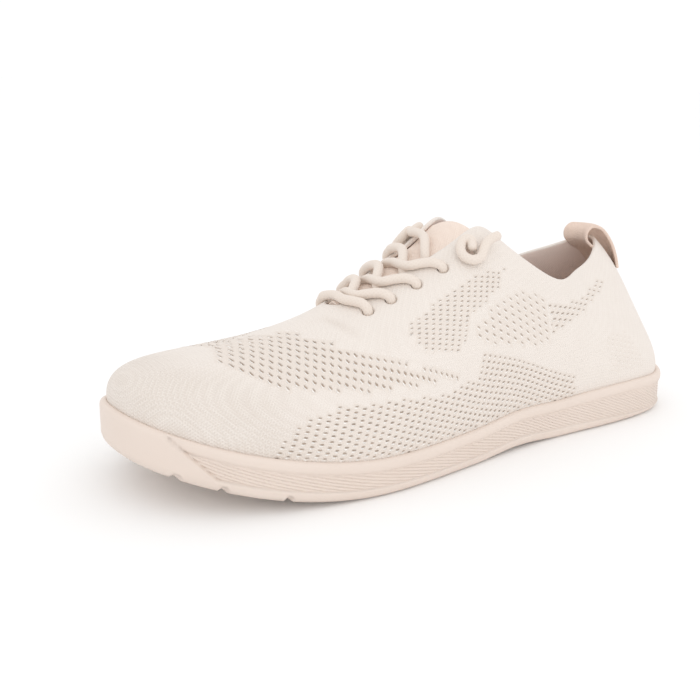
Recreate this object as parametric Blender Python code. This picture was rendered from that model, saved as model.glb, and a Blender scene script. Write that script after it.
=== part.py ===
"""Barefoot shoe, left foot: a hollow knit upper on a cupped rubber sole, with tongue, insole,
heel pull tab and an elastic lace. Tables and sizes are in millimetres; meshes are in metres."""
from collections import namedtuple

import bmesh
import bpy
import numpy as np

for old in list(bpy.data.objects):
    bpy.data.objects.remove(old, do_unlink=True)

MM = 0.001
FINE_STEPS = 2001

# Driving sizes of the whole shoe
LENGTH = 281.0
GAP = 0.3

# Sole: bottom profile, cup and the bands of its side, measured down from the rim
SOLE_THICKNESS = 5.5
RIM_THICKNESS = 1.8
HEEL_FLAT = (20.0, 84.0)
FOREFOOT_FLAT = (142.0, 190.0)
HEEL_BEVEL = 2.2
ARCH_RISE = 1.4
TOE_SPRING = 19.5
TOE_SPRING_POWER = 1.9
BOTTOM_EDGE = 2.6
BOTTOM_EDGE_RISE = 1.6
BOTTOM_EDGE_INSET = 0.5
LIP_HEIGHT = 5.4
LIP_PROUD = 0.7
LIP_UNDERCUT = 0.4
LIP_ROUND = 1.2
RIB_BAND_SHARE = 0.58
RIB_DEPTH = 0.6
RIB_SHEAR = 3
BUMPER_LIP_END = 271.0
BUMPER_SLANT = 1.3
SOLE_STATIONS = 212

# Tread: slots across the sole, the front three of them cut through its edge
SLOT_WIDTH = 2.6
SLOT_DEPTH = 1.3
TreadSlot = namedtuple("TreadSlot", "along half_length")
SLOTS = [TreadSlot(32, 22), TreadSlot(50, 25), TreadSlot(68, 27), TreadSlot(152, 34), TreadSlot(170, 38),
         TreadSlot(190, 40), TreadSlot(210, 40), TreadSlot(231, 70), TreadSlot(253, 70), TreadSlot(267, 70)]

# Upper, insole and tongue
WALL = 2.0
WALL_FLARE = 1.5
UPPER_STATIONS = 72
UPPER_ROWS = 12
INSOLE_THICKNESS = 3.0
INSOLE_CLEARANCE = 0.5
TONGUE_THICKNESS = 2.6
TONGUE_CLEARANCE = 0.4
TONGUE_SHARE = 0.30
TONGUE_TOP = 121.0
TONGUE_ROOT = 184.0
TONGUE_SECTIONS = 9
TONGUE_SIDE_POINTS = 5
TONGUE_ARCH = 3.2

# Lace and pull tab
CORD_DIAMETER = 4.2
CORD_CLEARANCE = 0.4
EYELET_DIAMETER = 4.8
EYELET_INSET = 0.155
THROAT_STATIONS = (123.0, 135.0, 147.5, 159.0, 168.5)
LACE_ARCH = 1.5
EMERGE_INSET = 5.0
EMERGE_SHIFT = 5.5
REST_PORTIONS = (1.0, 0.55, 0.1)
BAR_POINTS = 11
LACE_END_POINTS = 24
TAB_WIDTH = 22.0
TAB_ROW = -0.22
TAB_THICKNESS = 1.5
TAB_COLUMNS = 5

# One row per wall section around the shoe, from the heel over the outer side, the toe and the
# inner side: where the sole's widest edge lies, where the wall ends at the topline, and the
# handles of the wall's curve: rise above the rim, and reach out and drop at the topline
Section = namedtuple("Section", "sole_along sole_across top_along top_across top_height rise reach drop")
SECTIONS = [
    Section(0.0, 1.5, 27.0, -4.0, 82.5, 17, 20, 18),
    Section(4.0, 22.5, 36.0, 6.0, 76.5, 17, 15, 18),
    Section(18.0, 36.0, 48.0, 12.5, 72.3, 18, 9, 18),
    Section(44.0, 41.0, 61.0, 19.5, 70.6, 20, 5, 18),
    Section(68.0, 41.6, 77.5, 26.5, 69.6, 20, 5, 18),
    Section(92.0, 42.0, 95.0, 25.5, 78.5, 23, 8, 19),
    Section(115.0, 44.3, 109.0, 21.5, 89.0, 27, 12, 18),
    Section(138.0, 48.0, 119.5, 16.5, 96.0, 29, 15, 14),
    Section(161.0, 52.0, 131.5, 13.5, 89.6, 26, 18, 12),
    Section(184.0, 54.8, 148.0, 12.0, 81.2, 23, 20, 12),
    Section(207.0, 54.0, 164.0, 10.5, 73.6, 20, 22, 12),
    Section(229.0, 50.0, 176.0, 8.8, 68.3, 19, 26, 12),
    Section(250.0, 42.0, 182.5, 5.5, 66.2, 20, 34, 14),
    Section(268.5, 28.5, 185.0, 2.5, 65.6, 24, 43, 16),
    Section(279.0, 10.0, 185.8, -0.5, 65.4, 25, 50, 18),
    Section(279.5, -12.0, 185.5, -3.5, 65.0, 25, 49, 20),
    Section(271.0, -30.0, 184.0, -6.5, 65.0, 24, 42, 22),
    Section(258.5, -43.8, 180.5, -9.0, 65.4, 19, 32, 21),
    Section(240.0, -52.0, 173.0, -11.0, 67.6, 17, 24, 20),
    Section(217.0, -54.5, 161.0, -12.5, 72.3, 18, 20, 18),
    Section(192.0, -52.5, 147.0, -14.0, 79.8, 22, 18, 16),
    Section(167.0, -48.0, 132.0, -15.5, 87.5, 26, 17, 15),
    Section(142.0, -42.8, 118.5, -18.0, 95.5, 29, 15, 15),
    Section(118.0, -39.0, 106.5, -22.5, 91.0, 27, 12, 18),
    Section(94.0, -36.8, 93.0, -26.0, 79.0, 23, 8, 19),
    Section(69.0, -36.8, 76.0, -27.5, 69.0, 20, 5, 18),
    Section(44.0, -37.5, 60.0, -25.0, 72.0, 20, 5, 18),
    Section(19.0, -32.5, 45.0, -19.5, 76.5, 18, 10, 18),
    Section(4.5, -18.5, 32.0, -13.0, 81.0, 17, 17, 18),
]
OUTER_CORNER_ROW = 7
TOE_ROW = 14
INNER_CORNER_ROW = 22

# Height of the sole's rim above its bottom, one row per place along the shoe
RimRow = namedtuple("RimRow", "along height")
RIM = [RimRow(0, 17.8), RimRow(41, 19.5), RimRow(101, 17.3), RimRow(181, 15.2), RimRow(231, 16.6),
       RimRow(281, 16.8)]

# Pull tab from its inner seam over the topline to its outer seam: share of the wall's height,
# distance beyond the topline, and lift off the wall's outer face
Ribbon = namedtuple("Ribbon", "share beyond lift")
INNER_LIFT = -(WALL + GAP + TAB_THICKNESS / 2)
OUTER_LIFT = GAP + TAB_THICKNESS / 2
RIBBON = [Ribbon(0.80, 0.0, INNER_LIFT), Ribbon(0.90, 0.0, -3.7), Ribbon(1.0, 0.8, -5.6), Ribbon(1.0, 5.0, -5.4),
          Ribbon(1.0, 7.2, -2.6), Ribbon(1.0, 6.2, 1.8), Ribbon(1.0, 1.6, 4.8), Ribbon(0.90, 0.0, 5.0),
          Ribbon(0.80, 0.0, 3.2), Ribbon(0.72, 0.0, OUTER_LIFT)]

# Route of a lace end from its eyelet: towards the collar, down the wall, and lift off it
LaceEnd = namedtuple("LaceEnd", "collarward down lift")
LACE_END = [LaceEnd(0.3, 2.0, 2.6), LaceEnd(0.3, -0.8, 2.8), LaceEnd(-0.6, -3.4, 3.0), LaceEnd(-3.0, -3.2, 2.8),
            LaceEnd(-4.6, 0.6, 2.6), LaceEnd(-3.6, 4.6, 2.6), LaceEnd(0.0, 6.6, 2.6), LaceEnd(3.8, 5.2, 2.6),
            LaceEnd(5.2, 1.4, 2.8), LaceEnd(6.4, -1.8, 3.2), LaceEnd(9.2, -4.6, 3.4), LaceEnd(12.8, -6.6, 3.2)]


def closed_spline(rows, at):
    """Smooth closed curve through the rows, read at the given row numbers."""
    rows = np.asarray(rows, float)
    count = len(rows)
    system = np.zeros((count, count))
    for i in range(count):
        system[i, i - 1] += 1
        system[i, i] += 4
        system[i, (i + 1) % count] += 1
    slopes = np.linalg.solve(system, 3 * (np.roll(rows, -1, 0) - np.roll(rows, 1, 0)))
    at = np.mod(np.asarray(at, float), count)
    first = np.floor(at).astype(int) % count
    second = (first + 1) % count
    part = (at - np.floor(at))[:, None]
    stay = 2 * part**3 - 3 * part**2 + 1
    return (stay * rows[first] + (1 - stay) * rows[second]
            + (part**3 - 2 * part**2 + part) * slopes[first] + (part**3 - part**2) * slopes[second])


def open_spline(places, values, at):
    """Smooth curve through values at rising places."""
    places = np.asarray(places, float)
    values = np.asarray(values, float)
    slopes = np.gradient(values, places)
    at = np.clip(at, places[0], places[-1])
    first = np.clip(np.searchsorted(places, at) - 1, 0, len(places) - 2)
    step = places[first + 1] - places[first]
    part = (at - places[first]) / step
    stay = 2 * part**3 - 3 * part**2 + 1
    return (stay * values[first] + (1 - stay) * values[first + 1]
            + step * (part**3 - 2 * part**2 + part) * slopes[first]
            + step * (part**3 - part**2) * slopes[first + 1])


def sole_edge(at):
    """The sole's widest edge and its outward direction, seen from above."""
    columns = [(row.sole_along, row.sole_across) for row in SECTIONS]
    step = 0.01
    edge = closed_spline(columns, at)
    ahead = closed_spline(columns, np.asarray(at) + step) - closed_spline(columns, np.asarray(at) - step)
    outward = np.stack([-ahead[:, 1], ahead[:, 0]], axis=1)
    return edge, outward / np.linalg.norm(outward, axis=1)[:, None]


def stations(count):
    """Row numbers around the sole: even along the outer side, and level with those on the inner."""
    dense = np.linspace(0, len(SECTIONS), FINE_STEPS)
    edge, _ = sole_edge(dense)
    heel = dense[np.argmin(edge[:, 0])]
    heel = heel - len(SECTIONS) if heel > len(SECTIONS) / 2 else heel
    toe = dense[np.argmax(edge[:, 0])]
    outer = np.linspace(heel, toe, FINE_STEPS)
    walk = np.linalg.norm(np.diff(sole_edge(outer)[0], axis=0), axis=1)
    travelled = np.concatenate([[0], np.cumsum(walk)])
    half = count // 2
    outer_rows = np.interp(np.linspace(0, travelled[-1], half + 1), travelled, outer)
    inner = np.linspace(toe, heel + len(SECTIONS), FINE_STEPS)
    inner_along = sole_edge(inner)[0][:, 0]
    wanted = sole_edge(outer_rows[1:-1])[0][::-1, 0]
    inner_rows = np.interp(-wanted, -inner_along, inner)
    return np.concatenate([outer_rows, inner_rows])


def bottom(along):
    """Height of the sole's underside: heel bevel, arch and toe spring between two flat spots."""
    heel = np.clip((HEEL_FLAT[0] - along) / HEEL_FLAT[0], 0, 1)
    waist = np.clip((along - HEEL_FLAT[1]) / (FOREFOOT_FLAT[0] - HEEL_FLAT[1]), 0, 1)
    toe = np.clip((along - FOREFOOT_FLAT[1]) / (LENGTH - FOREFOOT_FLAT[1]), 0, 2)
    return HEEL_BEVEL * heel**2 + ARCH_RISE * np.sin(np.pi * waist)**2 + TOE_SPRING * toe**TOE_SPRING_POWER


def rim(along):
    """Height of the sole's rim."""
    return bottom(along) + open_spline([row.along for row in RIM], [row.height for row in RIM], along)


def wall(at, share):
    """Outer face of the upper: one curve for each row number, from the rim (0) to the topline (1)."""
    at = np.asarray(at, float)
    share = np.asarray(share, float)[:, None]
    columns = closed_spline(SECTIONS, at)
    edge, outward = sole_edge(at)
    foot = edge - outward * (RIM_THICKNESS + GAP)
    top = columns[:, 2:5]
    away = foot - top[:, :2]
    away = away / np.linalg.norm(away, axis=1)[:, None]
    rise, reach, drop = columns[:, 5:6], columns[:, 6:7], columns[:, 7:8]
    height = rim(edge[:, 0])[:, None]
    start = np.hstack([foot, height])
    low = np.hstack([foot + outward * WALL_FLARE, height + rise])
    high = top + np.hstack([away * reach, -drop])
    return ((1 - share)**3 * start + 3 * (1 - share)**2 * share * low
            + 3 * (1 - share) * share**2 * high + share**3 * top)


def wall_frame(at, share):
    """Point on the upper, direction up the wall, and outward normal."""
    at = np.asarray(at, float)
    share = np.asarray(share, float)
    step = 0.002
    point = wall(at, share)
    up = wall(at, share + step) - wall(at, share - step)
    along = wall(at + step, share) - wall(at - step, share)
    normal = np.cross(up, along)
    up = up / np.linalg.norm(up, axis=1)[:, None]
    return point, up, normal / np.linalg.norm(normal, axis=1)[:, None]


def throat_row(along, side):
    """Row number whose topline point lies at this place along the throat, outer (1) or inner (-1)."""
    corner = OUTER_CORNER_ROW if side > 0 else INNER_CORNER_ROW
    rows = np.linspace(corner, TOE_ROW, FINE_STEPS)
    places = closed_spline(SECTIONS, rows)[:, 2]
    rising = np.maximum.accumulate(places)
    return float(np.interp(along, rising, rows))


def on_wall(along, side, share, lift, beyond=0.0):
    """Point above the wall at a place along the throat, lifted off its outer face."""
    point, up, normal = wall_frame([throat_row(along, side)], [share])
    return point[0] + normal[0] * lift + up[0] * beyond


def material(name, colour, roughness):
    made = bpy.data.materials.new(name)
    made.use_nodes = True
    shader = made.node_tree.nodes["Principled BSDF"]
    shader.inputs["Base Color"].default_value = (*colour, 1.0)
    shader.inputs["Roughness"].default_value = roughness
    return made


def add_object(name, points, faces, finish, smooth_angle=0.6):
    """Closed mesh object from points in shoe millimetres: heel at zero, toe at LENGTH."""
    shifted = (np.asarray(points, float) - [LENGTH / 2, 0, 0]) * MM
    mesh = bpy.data.meshes.new(name)
    mesh.from_pydata([tuple(point) for point in shifted], [], faces)
    shape = bmesh.new()
    shape.from_mesh(mesh)
    bmesh.ops.recalc_face_normals(shape, faces=shape.faces)
    shape.to_mesh(mesh)
    shape.free()
    mesh.shade_smooth()
    mesh.set_sharp_from_angle(angle=smooth_angle)
    made = bpy.data.objects.new(name, mesh)
    bpy.context.collection.objects.link(made)
    mesh.materials.append(finish)
    return made


def ring_faces(first, second, count, slant=None):
    """Faces between two closed loops of points, each slanted ahead by its own number of stations."""
    slant = np.zeros(count, int) if slant is None else slant
    faces = []
    for i in range(count):
        here = i + slant[i]
        ahead = i + 1 + slant[(i + 1) % count]
        upper_edge = [second + step % count for step in range(ahead, here - 1, -1)]
        faces.append((first + i, first + (i + 1) % count, *upper_edge))
    return faces


def cap_faces(start, count):
    """Quads across a closed loop, from each outer station to the inner one level with it."""
    faces = []
    for i in range(count // 2):
        corners = [i, i + 1, count - i - 1, (count - i) % count]
        faces.append(tuple(start + corner for corner in dict.fromkeys(corners)))
    return faces


def tube(route, diameter, sides=8):
    """Points and faces of a round bar along a route."""
    route = np.asarray(route, float)
    ahead = np.gradient(route, axis=0)
    ahead = ahead / np.linalg.norm(ahead, axis=1)[:, None]
    side = np.cross(ahead, [0, 0, 1.0])
    side = side / np.linalg.norm(side, axis=1)[:, None]
    over = np.cross(side, ahead)
    turns = np.linspace(0, 2 * np.pi, sides, endpoint=False)
    points = []
    for centre, across, above in zip(route, side, over):
        for turn in turns:
            points.append(centre + diameter / 2 * (np.cos(turn) * across + np.sin(turn) * above))
    faces = []
    for ring in range(len(route) - 1):
        faces += ring_faces(ring * sides, (ring + 1) * sides, sides)
    faces.append(tuple(range(sides)))
    last = (len(route) - 1) * sides
    faces.append(tuple(last + i for i in range(sides)))
    return points, faces


def smooth_route(points, count):
    """Evenly spaced points on a smooth curve through a route's own points."""
    points = np.asarray(points, float)
    walk = np.concatenate([[0], np.cumsum(np.linalg.norm(np.diff(points, axis=0), axis=1))])
    dense = np.linspace(0, walk[-1], FINE_STEPS)
    curve = np.stack([open_spline(walk, points[:, axis], dense) for axis in range(3)], axis=1)
    travelled = np.concatenate([[0], np.cumsum(np.linalg.norm(np.diff(curve, axis=0), axis=1))])
    even = np.linspace(0, travelled[-1], count)
    return np.stack([np.interp(even, travelled, curve[:, axis]) for axis in range(3)], axis=1)


def cut(target, name, points, faces, operation="DIFFERENCE"):
    """Boolean with a hidden helper mesh."""
    helper = add_object(name, points, faces, target.data.materials[0])
    helper.hide_render = True
    helper.display_type = "WIRE"
    boolean = target.modifiers.new(name, "BOOLEAN")
    boolean.operation = operation
    boolean.object = helper
    boolean.solver = "EXACT"


def make_outsole():
    """Cupped sole: underside, ribbed side band, lip, toe bumper and cup, swept around the edge."""
    at = stations(SOLE_STATIONS)
    count = len(at)
    edge, outward = sole_edge(at)
    along = edge[:, 0]
    low = bottom(along)
    high = rim(along)
    band_top = high - LIP_HEIGHT
    band = RIB_BAND_SHARE * (band_top - low)
    number = np.arange(count)

    def loop(offset, height):
        plan = edge + outward * np.broadcast_to(offset, (count,))[:, None]
        return np.column_stack([plan, np.broadcast_to(height, (count,))])

    def on_bumper(height):
        return along > BUMPER_LIP_END - BUMPER_SLANT * (high - height)

    def ribs(step, height):
        ridge = np.where((number - RIB_SHEAR * step) % 2 == 0, RIB_DEPTH / 2, -RIB_DEPTH / 2)
        return np.where(on_bumper(height), LIP_PROUD, ridge)

    def level(offset, lift):
        flat = edge + outward * offset
        return loop(offset, bottom(flat[:, 0]) + lift)

    loops = [
        level(-BOTTOM_EDGE, 0.0),
        loop(-BOTTOM_EDGE_INSET, low + BOTTOM_EDGE_RISE),
        loop(ribs(0, band_top - band), band_top - band),
        loop(ribs(1, band_top - band / 2), band_top - band / 2),
        loop(ribs(2, band_top), band_top),
        loop(LIP_PROUD, band_top + LIP_UNDERCUT),
        loop(LIP_PROUD, high - LIP_ROUND),
        loop(LIP_PROUD - LIP_ROUND, high),
        loop(-RIM_THICKNESS, high),
        level(-RIM_THICKNESS, SOLE_THICKNESS),
    ]
    bumper = number[on_bumper(band_top)]
    slant = np.clip(np.maximum(bumper[0] - number, number - bumper[-1]), 0, RIB_SHEAR)
    ribbed_loops = (2, 3)
    faces = []
    for i in range(len(loops) - 1):
        faces += ring_faces(i * count, (i + 1) * count, count, slant if i in ribbed_loops else None)
    faces += cap_faces(0, count)
    faces += cap_faces((len(loops) - 1) * count, count)
    rubber = material("sole_rubber", (0.79, 0.68, 0.60), 0.55)
    outsole = add_object("outsole", np.vstack(loops), faces, rubber)
    points, slots = [], []
    for slot in SLOTS:
        start = len(points)
        for height in (-SLOT_WIDTH, SLOT_DEPTH):
            for ahead, outward_end in ((-1, -1), (1, -1), (1, 1), (-1, 1)):
                x_place = slot.along + ahead * SLOT_WIDTH / 2
                underside = float(bottom(np.array(x_place)))
                points.append((x_place, outward_end * slot.half_length, underside + height))
        slots += [tuple(start + corner for corner in face) for face in
                  ((0, 1, 2, 3), (4, 5, 6, 7), (0, 1, 5, 4), (1, 2, 6, 5), (2, 3, 7, 6), (3, 0, 4, 7))]
    cut(outsole, "tread_slots", points, slots)


def make_upper():
    """Hollow knit upper: outer and inner face, open underneath and along collar and throat."""
    at = stations(UPPER_STATIONS)
    count = len(at)
    edge, outward = sole_edge(at)
    foot = edge - outward * (RIM_THICKNESS + GAP)
    floor = bottom(foot[:, 0]) + SOLE_THICKNESS + GAP
    outer = [np.column_stack([foot, floor])]
    inner = [np.column_stack([foot - outward * WALL, floor])]
    for share in np.linspace(0, 1, UPPER_ROWS):
        point, _, normal = wall_frame(at, np.full(count, share))
        outer.append(point)
        inner.append(point - normal * WALL)
    loops = outer + inner[::-1]
    faces = []
    for i in range(len(loops)):
        faces += ring_faces(i * count, (i + 1) % len(loops) * count, count)
    upper = add_object("upper", np.vstack(loops), faces, material("upper_knit", (0.84, 0.77, 0.71), 0.9))
    points, holes = [], []
    for side in (1, -1):
        for place in THROAT_STATIONS:
            route = [on_wall(place, side, 1 - EYELET_INSET, lift) for lift in (-2 * WALL, WALL)]
            hole_points, hole_faces = tube(route, EYELET_DIAMETER)
            holes += [tuple(len(points) + corner for corner in face) for face in hole_faces]
            points += hole_points
    cut(upper, "eyelet_holes", points, holes)


def make_insole():
    """Flat footbed that lies in the cup, inside the upper."""
    at = stations(SOLE_STATIONS // 2)
    count = len(at)
    edge, outward = sole_edge(at)
    plan = edge - outward * (RIM_THICKNESS + GAP + WALL + INSOLE_CLEARANCE)
    floor = bottom(plan[:, 0]) + SOLE_THICKNESS + GAP
    loops = [np.column_stack([plan, floor]), np.column_stack([plan, floor + INSOLE_THICKNESS])]
    faces = ring_faces(0, count, count) + cap_faces(0, count) + cap_faces(count, count)
    add_object("insole", np.vstack(loops), faces, material("insole_lining", (0.82, 0.69, 0.62), 0.95))


def make_tongue():
    """Tongue under the throat: follows the inside of the upper and arches across the opening."""
    shares = np.linspace(1 - TONGUE_SHARE, 1.0, TONGUE_SIDE_POINTS)
    top, below = [], []
    for place in np.linspace(TONGUE_TOP, TONGUE_ROOT, TONGUE_SECTIONS):
        sides = []
        for side in (1, -1):
            point, _, normal = wall_frame(np.full(len(shares), throat_row(place, side)), shares)
            sides.append((point - normal * (WALL + TONGUE_CLEARANCE), normal))
        (outer, outer_normal), (inner, inner_normal) = sides
        middle = (outer[-1] + inner[-1]) / 2 + [0, 0, TONGUE_ARCH]
        line = np.vstack([outer, [middle], inner[::-1]])
        normals = np.vstack([outer_normal, [[0, 0, 1.0]], inner_normal[::-1]])
        top.append(line)
        below.append(line - normals * TONGUE_THICKNESS)
    sheet(top, below, "tongue", material("tongue_knit", (0.84, 0.71, 0.63), 0.9))


def sheet(front, back, name, finish):
    """Closed solid between two equal grids of points."""
    rows, columns = len(front), len(front[0])
    points = np.vstack([np.vstack(front), np.vstack(back)])
    offset = rows * columns
    faces = []
    for row in range(rows - 1):
        for column in range(columns - 1):
            corner = row * columns + column
            quad = (corner, corner + 1, corner + columns + 1, corner + columns)
            faces.append(quad)
            faces.append(tuple(offset + i for i in reversed(quad)))
    rim_points = ([column for column in range(columns)]
                  + [row * columns + columns - 1 for row in range(1, rows)]
                  + [(rows - 1) * columns + column for column in range(columns - 2, -1, -1)]
                  + [row * columns for row in range(rows - 2, 0, -1)])
    for i, here in enumerate(rim_points):
        following = rim_points[(i + 1) % len(rim_points)]
        faces.append((here, following, offset + following, offset + here))
    add_object(name, points, faces, finish)


def make_pull_tab():
    """Ribbon sewn inside the heel, looped over the topline and sewn down again outside."""
    middle = []
    for row in RIBBON:
        half_row = 0.5
        across = wall([TAB_ROW + half_row], [row.share])[0] - wall([TAB_ROW - half_row], [row.share])[0]
        reach = TAB_WIDTH / 2 / np.linalg.norm(across)
        at = TAB_ROW + np.linspace(-reach, reach, TAB_COLUMNS)
        point, up, normal = wall_frame(at, np.full(TAB_COLUMNS, row.share))
        middle.append(point + up * row.beyond + normal * row.lift)
    middle = np.array(middle)
    normals = np.cross(np.gradient(middle, axis=0), np.gradient(middle, axis=1))
    normals = normals / np.linalg.norm(normals, axis=2)[:, :, None]
    sheet(list(middle + normals * TAB_THICKNESS / 2), list(middle - normals * TAB_THICKNESS / 2),
          "pull_tab", material("pull_tab_ribbon", (0.82, 0.67, 0.58), 0.85))


def lace_side(place, side):
    """Lace points from an eyelet over the edge of the throat, resting on the upper."""
    lift = CORD_DIAMETER / 2 + CORD_CLEARANCE
    return [on_wall(place, side, 1 - EYELET_INSET * portion, lift) for portion in REST_PORTIONS]


def throat_middle(place, other_place):
    """Point of the lace over the middle of the throat."""
    lift = CORD_DIAMETER / 2 + CORD_CLEARANCE
    return (on_wall(place, 1, 1.0, lift) + on_wall(other_place, -1, 1.0, lift)) / 2 + [0, 0, LACE_ARCH]


def lace_emerging(place, side):
    """Point inside the throat where the lace comes up beside the edge."""
    lift = CORD_DIAMETER / 2 + CORD_CLEARANCE
    edge = on_wall(place, side, 1.0, lift)
    return edge - np.array([0, side * EMERGE_INSET, 0])


def make_laces():
    """One bar across the lowest eyelets, then a crossing for each pair above it."""
    elastic = material("lace_elastic", (0.84, 0.74, 0.66), 0.8)
    lowest = THROAT_STATIONS[-1]
    route = (lace_side(lowest, 1) + [throat_middle(lowest, lowest)] + lace_side(lowest, -1)[::-1])
    points, faces = tube(smooth_route(route, BAR_POINTS), CORD_DIAMETER)
    add_object("lace_bar", points, faces, elastic)
    for number, (above, below) in enumerate(zip(THROAT_STATIONS[1:-1], THROAT_STATIONS[2:]), start=1):
        bars = []
        for side in (1, -1):
            places = (above, below) if side > 0 else (below, above)
            route = lace_side(above, side)
            route.append(throat_middle(*places))
            route.append(lace_emerging(below - EMERGE_SHIFT, -side))
            bars.append(tube(smooth_route(route, BAR_POINTS), CORD_DIAMETER))
        crossing = add_object(f"lace_crossing_{number}", *bars[0], elastic)
        cut(crossing, f"lace_crossing_{number}_second", *bars[1], operation="UNION")


def make_lace_end(name, side, elastic):
    """Knotted end of the lace outside a top eyelet: a loop, a turn on top of it and a short tail."""
    point, up, normal = wall_frame([throat_row(THROAT_STATIONS[0], side)], [1 - EYELET_INSET])
    down = -up[0]
    collar = np.cross(down, normal[0])
    collar = collar if collar[0] < 0 else -collar
    route = [point[0] + collar * row.collarward + down * row.down + normal[0] * row.lift for row in LACE_END]
    spline_points = (smooth_route(route, LACE_END_POINTS) - [LENGTH / 2, 0, 0]) * MM
    curve = bpy.data.curves.new(name, "CURVE")
    curve.dimensions = "3D"
    curve.bevel_depth = CORD_DIAMETER / 2 * MM
    curve.bevel_resolution = 2
    curve.use_fill_caps = True
    spline = curve.splines.new("POLY")
    spline.points.add(len(spline_points) - 1)
    for target, place in zip(spline.points, spline_points):
        target.co = (*place, 1.0)
    curve.materials.append(elastic)
    bpy.context.collection.objects.link(bpy.data.objects.new(name, curve))


make_outsole()
make_upper()
make_insole()
make_tongue()
make_pull_tab()
make_laces()
end_material = material("lace_end_elastic", (0.84, 0.74, 0.66), 0.8)
make_lace_end("lace_end_outer", 1, end_material)
make_lace_end("lace_end_inner", -1, end_material)
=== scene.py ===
"""Left barefoot shoe: knitted upper, ribbed rubber cup sole, elastic lace, tongue, insole and heel loop.
Shapes are worked out in shoe millimetres: heel at 0 along, inner side negative, ground at 0 height."""
import math
from collections import namedtuple
from functools import partial

import bpy
import numpy as np
from mathutils import Matrix, Vector


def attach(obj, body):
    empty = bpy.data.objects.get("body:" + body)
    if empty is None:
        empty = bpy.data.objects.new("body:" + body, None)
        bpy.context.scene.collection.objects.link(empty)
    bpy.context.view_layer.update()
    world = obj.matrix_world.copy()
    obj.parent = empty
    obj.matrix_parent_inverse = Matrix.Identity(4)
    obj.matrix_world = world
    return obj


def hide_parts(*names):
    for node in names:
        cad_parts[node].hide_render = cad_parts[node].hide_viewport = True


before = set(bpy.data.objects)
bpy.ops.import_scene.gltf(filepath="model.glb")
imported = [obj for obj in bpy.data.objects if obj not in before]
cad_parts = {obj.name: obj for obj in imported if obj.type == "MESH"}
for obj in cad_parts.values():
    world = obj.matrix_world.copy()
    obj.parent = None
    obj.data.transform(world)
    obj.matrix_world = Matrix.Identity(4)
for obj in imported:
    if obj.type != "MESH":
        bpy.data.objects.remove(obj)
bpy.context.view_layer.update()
bpy.ops.object.select_all(action="DESELECT")

# Upper: one piece of fine knitted fabric drawn over the last and glued into the sole's cup.
# Leaf-shaped openwork zones are knitted into both sides, and the edge of collar and throat is rolled.
MM = 0.001
LENGTH = 281.0
HEEL_FLAT = (20.0, 84.0)
FOREFOOT_FLAT = (142.0, 190.0)
HEEL_BEVEL = 2.2
ARCH_RISE = 1.4
TOE_SPRING = 19.5
TOE_SPRING_POWER = 1.9
SOLE_THICKNESS = 5.5
RIM_THICKNESS = 1.8
GAP = 0.3
WALL = 2.0
WALL_FLARE = 1.5

Section = namedtuple("Section", "sole_along sole_across top_along top_across top_height rise reach drop")
SECTIONS = [Section(*row) for row in (
    (0.0, 1.5, 27.0, -4.0, 82.5, 17, 20, 18),
    (4.0, 22.5, 36.0, 6.0, 76.5, 17, 15, 18),
    (18.0, 36.0, 48.0, 12.5, 72.3, 18, 9, 18),
    (44.0, 41.0, 61.0, 19.5, 70.6, 20, 5, 18),
    (68.0, 41.6, 77.5, 26.5, 69.6, 20, 5, 18),
    (92.0, 42.0, 95.0, 25.5, 78.5, 23, 8, 19),
    (115.0, 44.3, 109.0, 21.5, 89.0, 27, 12, 18),
    (138.0, 48.0, 119.5, 16.5, 96.0, 29, 15, 14),
    (161.0, 52.0, 131.5, 13.5, 89.6, 26, 18, 12),
    (184.0, 54.8, 148.0, 12.0, 81.2, 23, 20, 12),
    (207.0, 54.0, 164.0, 10.5, 73.6, 20, 22, 12),
    (229.0, 50.0, 176.0, 8.8, 68.3, 19, 26, 12),
    (250.0, 42.0, 182.5, 5.5, 66.2, 20, 34, 14),
    (268.5, 28.5, 185.0, 2.5, 65.6, 24, 43, 16),
    (279.0, 10.0, 185.8, -0.5, 65.4, 25, 50, 18),
    (279.5, -12.0, 185.5, -3.5, 65.0, 25, 49, 20),
    (271.0, -30.0, 184.0, -6.5, 65.0, 24, 42, 22),
    (258.5, -43.8, 180.5, -9.0, 65.4, 19, 32, 21),
    (240.0, -52.0, 173.0, -11.0, 67.6, 17, 24, 20),
    (217.0, -54.5, 161.0, -12.5, 72.3, 18, 20, 18),
    (192.0, -52.5, 147.0, -14.0, 79.8, 22, 18, 16),
    (167.0, -48.0, 132.0, -15.5, 87.5, 26, 17, 15),
    (142.0, -42.8, 118.5, -18.0, 95.5, 29, 15, 15),
    (118.0, -39.0, 106.5, -22.5, 91.0, 27, 12, 18),
    (94.0, -36.8, 93.0, -26.0, 79.0, 23, 8, 19),
    (69.0, -36.8, 76.0, -27.5, 69.0, 20, 5, 18),
    (44.0, -37.5, 60.0, -25.0, 72.0, 20, 5, 18),
    (19.0, -32.5, 45.0, -19.5, 76.5, 18, 10, 18),
    (4.5, -18.5, 32.0, -13.0, 81.0, 17, 17, 18),
)]
AROUND = len(SECTIONS)
OUTER_CORNER_ROW = 7
TOE_ROW = 14
INNER_CORNER_ROW = 22

RimRow = namedtuple("RimRow", "along height")
RIM = [RimRow(*row) for row in ((0, 17.8), (41, 19.5), (101, 17.3), (181, 15.2), (231, 16.6), (281, 16.8))]

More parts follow.
